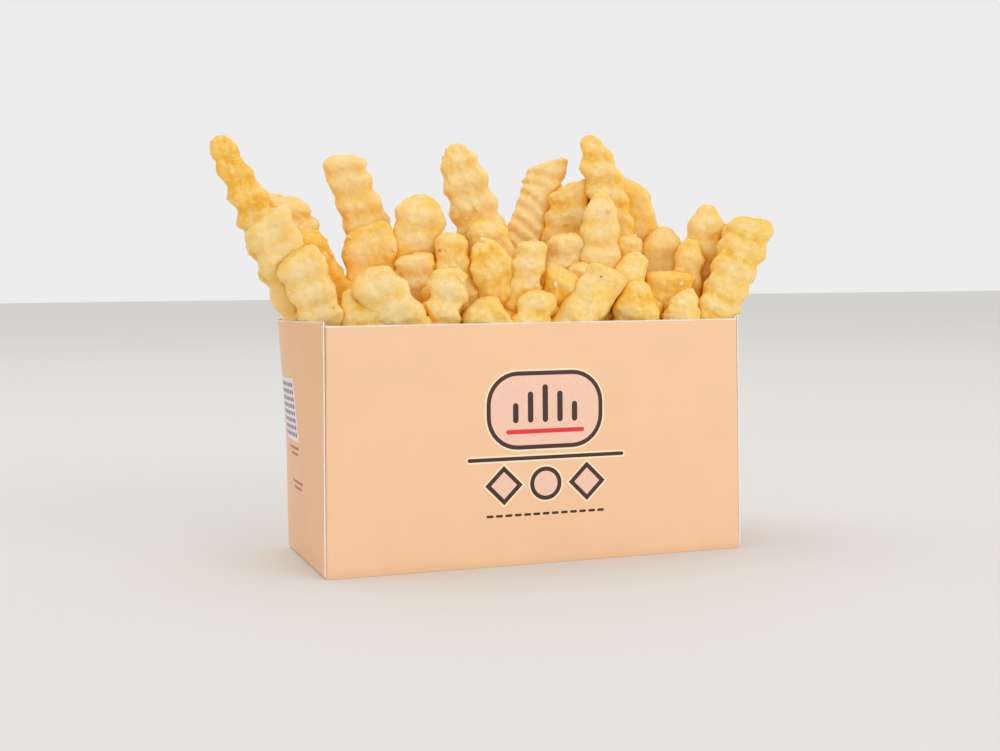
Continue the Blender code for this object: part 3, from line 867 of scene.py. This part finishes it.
def fry_points(row, number, section_points):
    """Points, quads and surface values of one ridged fry, in place."""
    x, y, rise, width, lean, nod, turn, kind, cut, bend, tone, ridges, more = row
    draw = np.random.default_rng(1000 + number)
    tangent = Vector((math.tan(math.radians(lean)), math.tan(math.radians(nod)), 1.0))
    stretch = tangent.length
    axis = tangent.normalized()
    root = ROOT_DEPTH * stretch
    length = root + rise * MM * stretch
    width = width * MM
    thickness = min(width, FRY_THICKNESS) * draw.uniform(0.92, 1.02)
    along = fry_stations(root, length)
    below = length - along
    scale = tip_scale(kind, below)
    angle = np.arange(section_points) * 2 * math.pi / section_points
    # Points crowd towards the corners of the section
    angle = angle + 0.10 * np.sin(4 * angle)
    cos, sin = np.cos(angle), np.sin(angle)
    swell = 1 + 0.05 * np.sin(along / (8 * MM) + draw.uniform(0, 6.3))
    swell = swell + 0.025 * np.sin(along / (3.7 * MM) + draw.uniform(0, 6.3))
    pitch = more.get("pitch", RIDGE_PITCH / MM * draw.uniform(0.85, 1.05)) * MM
    slant = math.tan(math.radians(more.get("slant", draw.uniform(-9, 9))))
    first_left = more.get("left", draw.uniform(0, pitch / MM)) * MM
    first_right = more.get("right", first_left / MM + draw.uniform(-2.5, 2.5)) * MM
    strength = ridges * RIDGE_DEPTH / 2 * (1 + 0.25 * np.sin(along / (13 * MM) + draw.uniform(0, 6.3)))
    strength = (strength * smooth(below / (6 * MM)))[:, None]
    faced = more.get("faced", draw.uniform(0.6, 0.95))
    rough = draw.uniform(0.5, 1.2)
    drift = pitch * 0.12 * np.sin(below / (11 * MM) + draw.uniform(0, 6.3))

    def wave(first, across):
        theta = 2 * math.pi * ((below + drift)[:, None] - first - slant * across * width / 2) / pitch
        return 2 * (0.5 + 0.5 * np.cos(theta)) ** 0.75 - 1

    # Each face carries the wave; the section is a rounded square between them
    middle = (first_left + first_right) / 2 + draw.uniform(-1, 1) * MM
    half = width / 2 * swell[:, None]
    deep = thickness / 2 * swell[:, None]
    right = half + strength * wave(first_right, 1.0)
    left = half + strength * wave(first_left, -1.0)
    front_wave = wave(middle, cos)
    back_wave = wave(middle + pitch / 2, cos)
    half_x = np.where(cos[None, :] > 0, right, left)
    half_y = deep + faced * strength * np.where(sin[None, :] > 0, back_wave, front_wave)
    power = draw.uniform(5.0, 7.0) if ridges > 0.35 else draw.uniform(3.6, 4.6)
    radius = ((np.abs(cos) / half_x) ** power + (np.abs(sin) / half_y) ** power) ** (-1 / power)
    radius = radius * scale[:, None]
    px = radius * cos
    py = radius * sin
    twist = math.radians(draw.uniform(-12, 12)) * (along / length - 0.6)[:, None]
    px, py = px * np.cos(twist) - py * np.sin(twist), px * np.sin(twist) + py * np.cos(twist)
    # The cut end slopes, and the whole fry bends a little
    shear = math.tan(math.radians(cut))
    reach = CUT_REACH + 0.7 * abs(shear) * width
    near_end = smooth(1 - below / reach)[:, None]
    pz = along[:, None] + shear * near_end * px
    above = np.clip(along - root, 0, None) / max(length - root, MM)
    sway = draw.uniform(-0.6, 0.6) * MM
    px = px + (bend * MM * above ** 3 + sway * np.sin(above * math.pi))[:, None]
    right_way = (Vector((1, 0, 0)) - axis * axis.x).normalized()
    back_way = axis.cross(right_way)
    spin = Matrix((right_way, back_way, axis)).transposed() @ Matrix.Rotation(math.radians(turn), 3, "Z")
    spin = np.array(spin)
    origin = np.array((x * MM, y * MM, HEIGHT)) - np.array(axis) * root
    local = np.stack([px, py, pz], axis=-1).reshape(-1, 3)
    # The batter swells the fry outwards, and its end upwards
    crust, fine, mounds = batter(local, number, rough)
    top = np.exp(-below / (1.2 * MM))[:, None] * np.ones_like(px)
    out = np.stack([cos * (1 - top), sin * (1 - top), top], axis=-1).reshape(-1, 3)
    local = local + out * (crust * MM)[:, None]
    points = local @ spin.T + origin
    crest = np.where(sin[None, :] < 0, front_wave, back_wave)
    corner = np.abs(cos * sin) * 2
    tip = np.exp(-below / (2.2 * MM))[:, None]
    rim_value = np.clip(0.6 * corner[None, :] ** 4 + tip * 0.7, 0, 1)
    # The ridge value, with the crust's fine grain and its mounds, drives painted shade in the material:
    # raised parts paler, grooves deeper
    values = {
        "tone": np.full(len(points), tone),
        "ridge": (crest * ridges).reshape(-1) + 0.4 * fine + 1.0 * mounds,
        "rim": rim_value.reshape(-1),
    }
    return points, ring_quads(len(along), section_points), values


def filler_rows():
    """List rows for the lower fries at the back, uneven in height and lean."""
    draw = random.Random(FILLER_SEED)
    rows = []
    for y, tallest, count in FILLER_ROWS:
        for step in range(count):
            x = (step + 0.5 + draw.uniform(-0.2, 0.2)) / count * FILLER_SPREAD - FILLER_SPREAD / 2
            rise = draw.uniform(0.3, 1.0) * tallest
            lean = draw.uniform(-16, 16)
            nod = draw.uniform(-6, 4)
            turn = draw.uniform(-40, 40)
            place = y + draw.uniform(-1, 1)
            tone = 0.2 + 0.6 * (step * 7 % 5) / 5
            rows.append((x, place, rise, FILLER_WIDTH, lean, nod, turn, "round", 0, 0, tone, 0.8, {}))
    return rows


def keep_inside(points):
    """Keeps fries inside the carton's walls below the rim, and inside the part's box."""
    low, high = CAD_BOX
    rim = HEIGHT + FLAP_RISE + WALL_GAP
    inside = points[:, 2] < rim
    y_limit = DEPTH / 2 - BOARD - WALL_GAP
    points[inside, 1] = np.clip(points[inside, 1], -y_limit, y_limit)
    for i in np.nonzero(inside)[0]:
        x, y, z = points[i]
        limit = abs(side_x(1 if x > 0 else -1, y, z)) - BOARD - WALL_GAP
        points[i, 0] = max(-limit, min(limit, x))
    for axis in range(3):
        points[:, axis] = np.clip(points[:, axis], low[axis] + BOX_MARGIN, high[axis] - BOX_MARGIN)
    return points


def make_fries(material):
    """All the fries: four pieces by how deep they are fried, and one of the lower fries behind them."""
    kinds = {"fries_pale": [], "fries_straw": [], "fries_golden": [], "fries_deep": [], "fries_lower": []}
    for number, row in enumerate(FRIES + filler_rows()):
        listed = number < len(FRIES)
        points, quads, values = fry_points(row, number, SECTION_POINTS if listed else BACK_SECTION_POINTS)
        kind = list(kinds)[int(np.searchsorted(KIND_LIMITS, row[10]))] if listed else "fries_lower"
        kinds[kind].append((keep_inside(points), quads, values))
    pieces = []
    for name, group in kinds.items():
        verts = np.concatenate([g[0] for g in group])
        faces = []
        start = 0
        for points, quads, values in group:
            faces += [tuple(start + i for i in quad) for quad in quads]
            start += len(points)
        piece = new_mesh_object(name, verts, faces, [material])
        for key in ("tone", "ridge", "rim"):
            store(piece.data, key, np.concatenate([g[2][key] for g in group]))
        close_ends(piece)
        piece.data.shade_smooth()
        pieces.append(piece)
    mark_hollows(pieces)
    return pieces


def close_ends(piece):
    """Closes both open ends of every fry with a small fan."""
    work = bmesh.new()
    work.from_mesh(piece.data)
    edges = [e for e in work.edges if e.is_boundary]
    bmesh.ops.holes_fill(work, edges=edges)
    bmesh.ops.recalc_face_normals(work, faces=work.faces)
    work.to_mesh(piece.data)
    work.free()


def mark_hollows(pieces):
    """Stores how closely each point is hemmed in by other fries, over a long and a short reach, for the
    painted glow of the hollows and the painted shade of the seams.
    """
    verts = []
    faces = []
    for piece in pieces:
        start = len(verts)
        verts += [v.co.copy() for v in piece.data.vertices]
        faces += [tuple(start + i for i in p.vertices) for p in piece.data.polygons]
    tree = BVHTree.FromPolygons(verts, faces)
    spokes = []
    count = 12
    for i in range(count):
        height = 1 - (i + 0.5) / count * 0.9
        turn = i * GOLDEN_ANGLE
        flat = math.sqrt(1 - height * height)
        spokes.append(Vector((flat * math.cos(turn), flat * math.sin(turn), height)))
    for piece in pieces:
        mesh = piece.data
        values = np.zeros(len(mesh.vertices), np.float32)
        seams = np.zeros(len(mesh.vertices), np.float32)
        for i, vertex in enumerate(mesh.vertices):
            # Points low in the heap take the full painted glow of the hollows
            if vertex.co.z < CORE_TOP:
                values[i] = 1.0
                continue
            turn = vertex.normal.to_track_quat("Z", "Y")
            begin = vertex.co + vertex.normal * 0.25 * MM
            hits = [tree.ray_cast(begin, turn @ spoke, HOLLOW_REACH)[3] or HOLLOW_REACH for spoke in spokes]
            values[i] = sum(1 - hit / HOLLOW_REACH for hit in hits) / count
            seams[i] = sum(max(0.0, 1 - hit / SEAM_REACH) for hit in hits) / count
        store(mesh, "hollow", values)
        store(mesh, "seam", seams)


def make_crumbs(pieces, material):
    """Crumbs of batter, 0.6 to 1.8 mm across, that cling to the fries where they lie open."""
    draw = random.Random(CRUMB_SEED)
    low, high = CAD_BOX
    margin = 2 * MM
    spots = []
    for piece in pieces:
        hollows = piece.data.attributes["hollow"].data
        for vertex in piece.data.vertices:
            clear = all(low[i] + margin < vertex.co[i] < high[i] - margin for i in range(3))
            above = vertex.co.z > HEIGHT + margin and vertex.normal.z > -0.4
            if clear and above and hollows[vertex.index].value < 0.4:
                spots.append((vertex.co.copy(), vertex.normal.copy()))
    work = bmesh.new()
    tones = []
    for place, normal in draw.sample(spots, CRUMBS):
        size = 0.3 * MM + 0.6 * MM * draw.random() ** 2.5
        made = bmesh.ops.create_icosphere(work, subdivisions=2, radius=1.0)["verts"]
        turn = normal.to_track_quat("Z", "Y").to_matrix() @ Matrix.Rotation(draw.uniform(0, 6.3), 3, "Z")
        shape = Vector((draw.uniform(0.8, 1.5), draw.uniform(0.7, 1.1), draw.uniform(0.5, 0.9)))
        shift = Vector((draw.uniform(0, 50), 0, 0))
        for vertex in made:
            swell = 1 + 0.5 * noise.noise(vertex.co * 1.3 + shift)
            vertex.co = place + turn @ (vertex.co * shape * swell * size) + normal * size * 0.15
        tones += [draw.uniform(0.0, 0.9)] * len(made)
    mesh = bpy.data.meshes.new("batter_crumbs")
    work.to_mesh(mesh)
    work.free()
    store(mesh, "tone", tones)
    mesh.materials.append(material)
    mesh.shade_smooth()
    return new_object("batter_crumbs", mesh)


def make_core(material):
    """A solid core that fills the carton under the fries."""
    gap = BOARD + WALL_GAP
    loops = [wall_loop(z, gap, 8, 8, 2) for z in (1.2 * MM, 20 * MM, 40 * MM, CORE_TOP)]
    count = len(loops[0])
    verts = [p for loop in loops for p in loop]
    faces = ring_quads(len(loops), count)
    faces.append(tuple(reversed(range(count))))
    faces.append(tuple(range(len(verts) - count, len(verts))))
    core = new_mesh_object("fries_core", verts, faces, [material])
    # The core takes the deepest frying colour under the full painted glow of the hollows
    for name in ("hollow", "tone"):
        store(core.data, name, np.ones(len(verts)))
    return core


# Stage, light and camera


def make_floor():
    """A plain pale floor, faintly clouded over a third of a metre."""
    material, tree, shader, place = new_material("pale matt studio floor")
    base = linear(FLOOR_COLOUR)
    cloud = add(tree, "TexNoise", {"Vector": place, "Scale": pattern(0.3333), "Detail": 2.0})
    colour = add(tree, "Mix", {0: cloud, 6: base, 7: toned(base, 0.97)}, out=2, data_type="RGBA")
    feed(shader, {"Base Color": colour, "Roughness": 0.8})
    half = FLOOR_HALF
    corners = [(-half, -half, 0), (half, -half, 0), (half, half, 0), (-half, half, 0)]
    floor = new_mesh_object("studio_floor", corners, [(0, 1, 2, 3)], [material])


def add_light(name, place, size, power):
    """A square soft white light that looks at the middle of the heap."""
    data = bpy.data.lights.new(name, "AREA")
    data.shape = "SQUARE"
    data.size = size
    data.energy = power
    item = new_object(name, data)
    item.location = place
    item.rotation_euler = (Vector(LIGHT_AIM) - Vector(place)).to_track_quat("-Z", "Y").to_euler()


def make_light():
    """Soft studio light: a large box overhead, a broad front fill and an even pale surround."""
    add_light("overhead_box", (-0.4, 0.4, 1.5), 1.2, OVERHEAD_WATTS)
    add_light("front_fill", (0.9, -1.7, 0.8), 1.4, FILL_WATTS)
    world = bpy.data.worlds.new("studio_surround")
    world.use_nodes = True
    feed(world.node_tree.nodes["Background"], {"Color": linear("#FFFFFF"), "Strength": SURROUND})
    bpy.context.scene.world = world
    bpy.context.scene.view_settings.view_transform = "Standard"


def make_camera():
    """The photograph's view."""
    data = bpy.data.cameras.new("photo_view")
    data.sensor_width = SENSOR
    data.lens = FOCAL_PIXELS * SENSOR / PHOTO_WIDTH
    data.clip_start = CLIP_START
    camera = new_object("photo_view", data)
    turn = Matrix.Rotation(math.radians(-CAMERA_YAW), 4, "Z")
    tilt = Matrix.Rotation(math.radians(90 - CAMERA_PITCH), 4, "X")
    roll = Matrix.Rotation(math.radians(CAMERA_ROLL), 4, "Z")
    camera.matrix_world = Matrix.Translation(CAMERA_PLACE) @ turn @ tilt @ roll
    bpy.context.scene.camera = camera


def dress_carton():
    """Replaces the carton's plain solid with its folded, printed board."""
    board = [coated_board("coated paperboard, peach print", PEACH), raw_board(),
             coated_board("paperboard back, uncoated", BOARD_BACK, 0.75)]
    # Both side panels wear the darker peach copy, as painted shade
    sides = [coated_board("coated paperboard, peach with painted side shade", PEACH_SIDE_SHADED)] + board[1:]
    pieces = [make_box_wall(board), make_side_panel(-1, sides), make_side_panel(1, sides), make_base(board)]
    for piece in pieces:
        piece.data.shade_smooth()
        piece.data.set_sharp_from_angle(angle=math.radians(35))
    pieces += make_front_print()
    pieces += make_left_print()
    for piece in pieces:
        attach(piece, "root")
    for piece in pieces[:4]:
        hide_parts("carton")


def dress_fries():
    """Replaces the heap's solid with separate fries over a core."""
    material = fried_potato()
    pieces = make_fries(material)
    pieces += [make_crumbs(pieces, fried_crumb()), make_core(material)]
    for piece in pieces:
        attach(piece, "root")
        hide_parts("fries")


make_camera()
make_light()
make_floor()
dress_carton()
dress_fries()
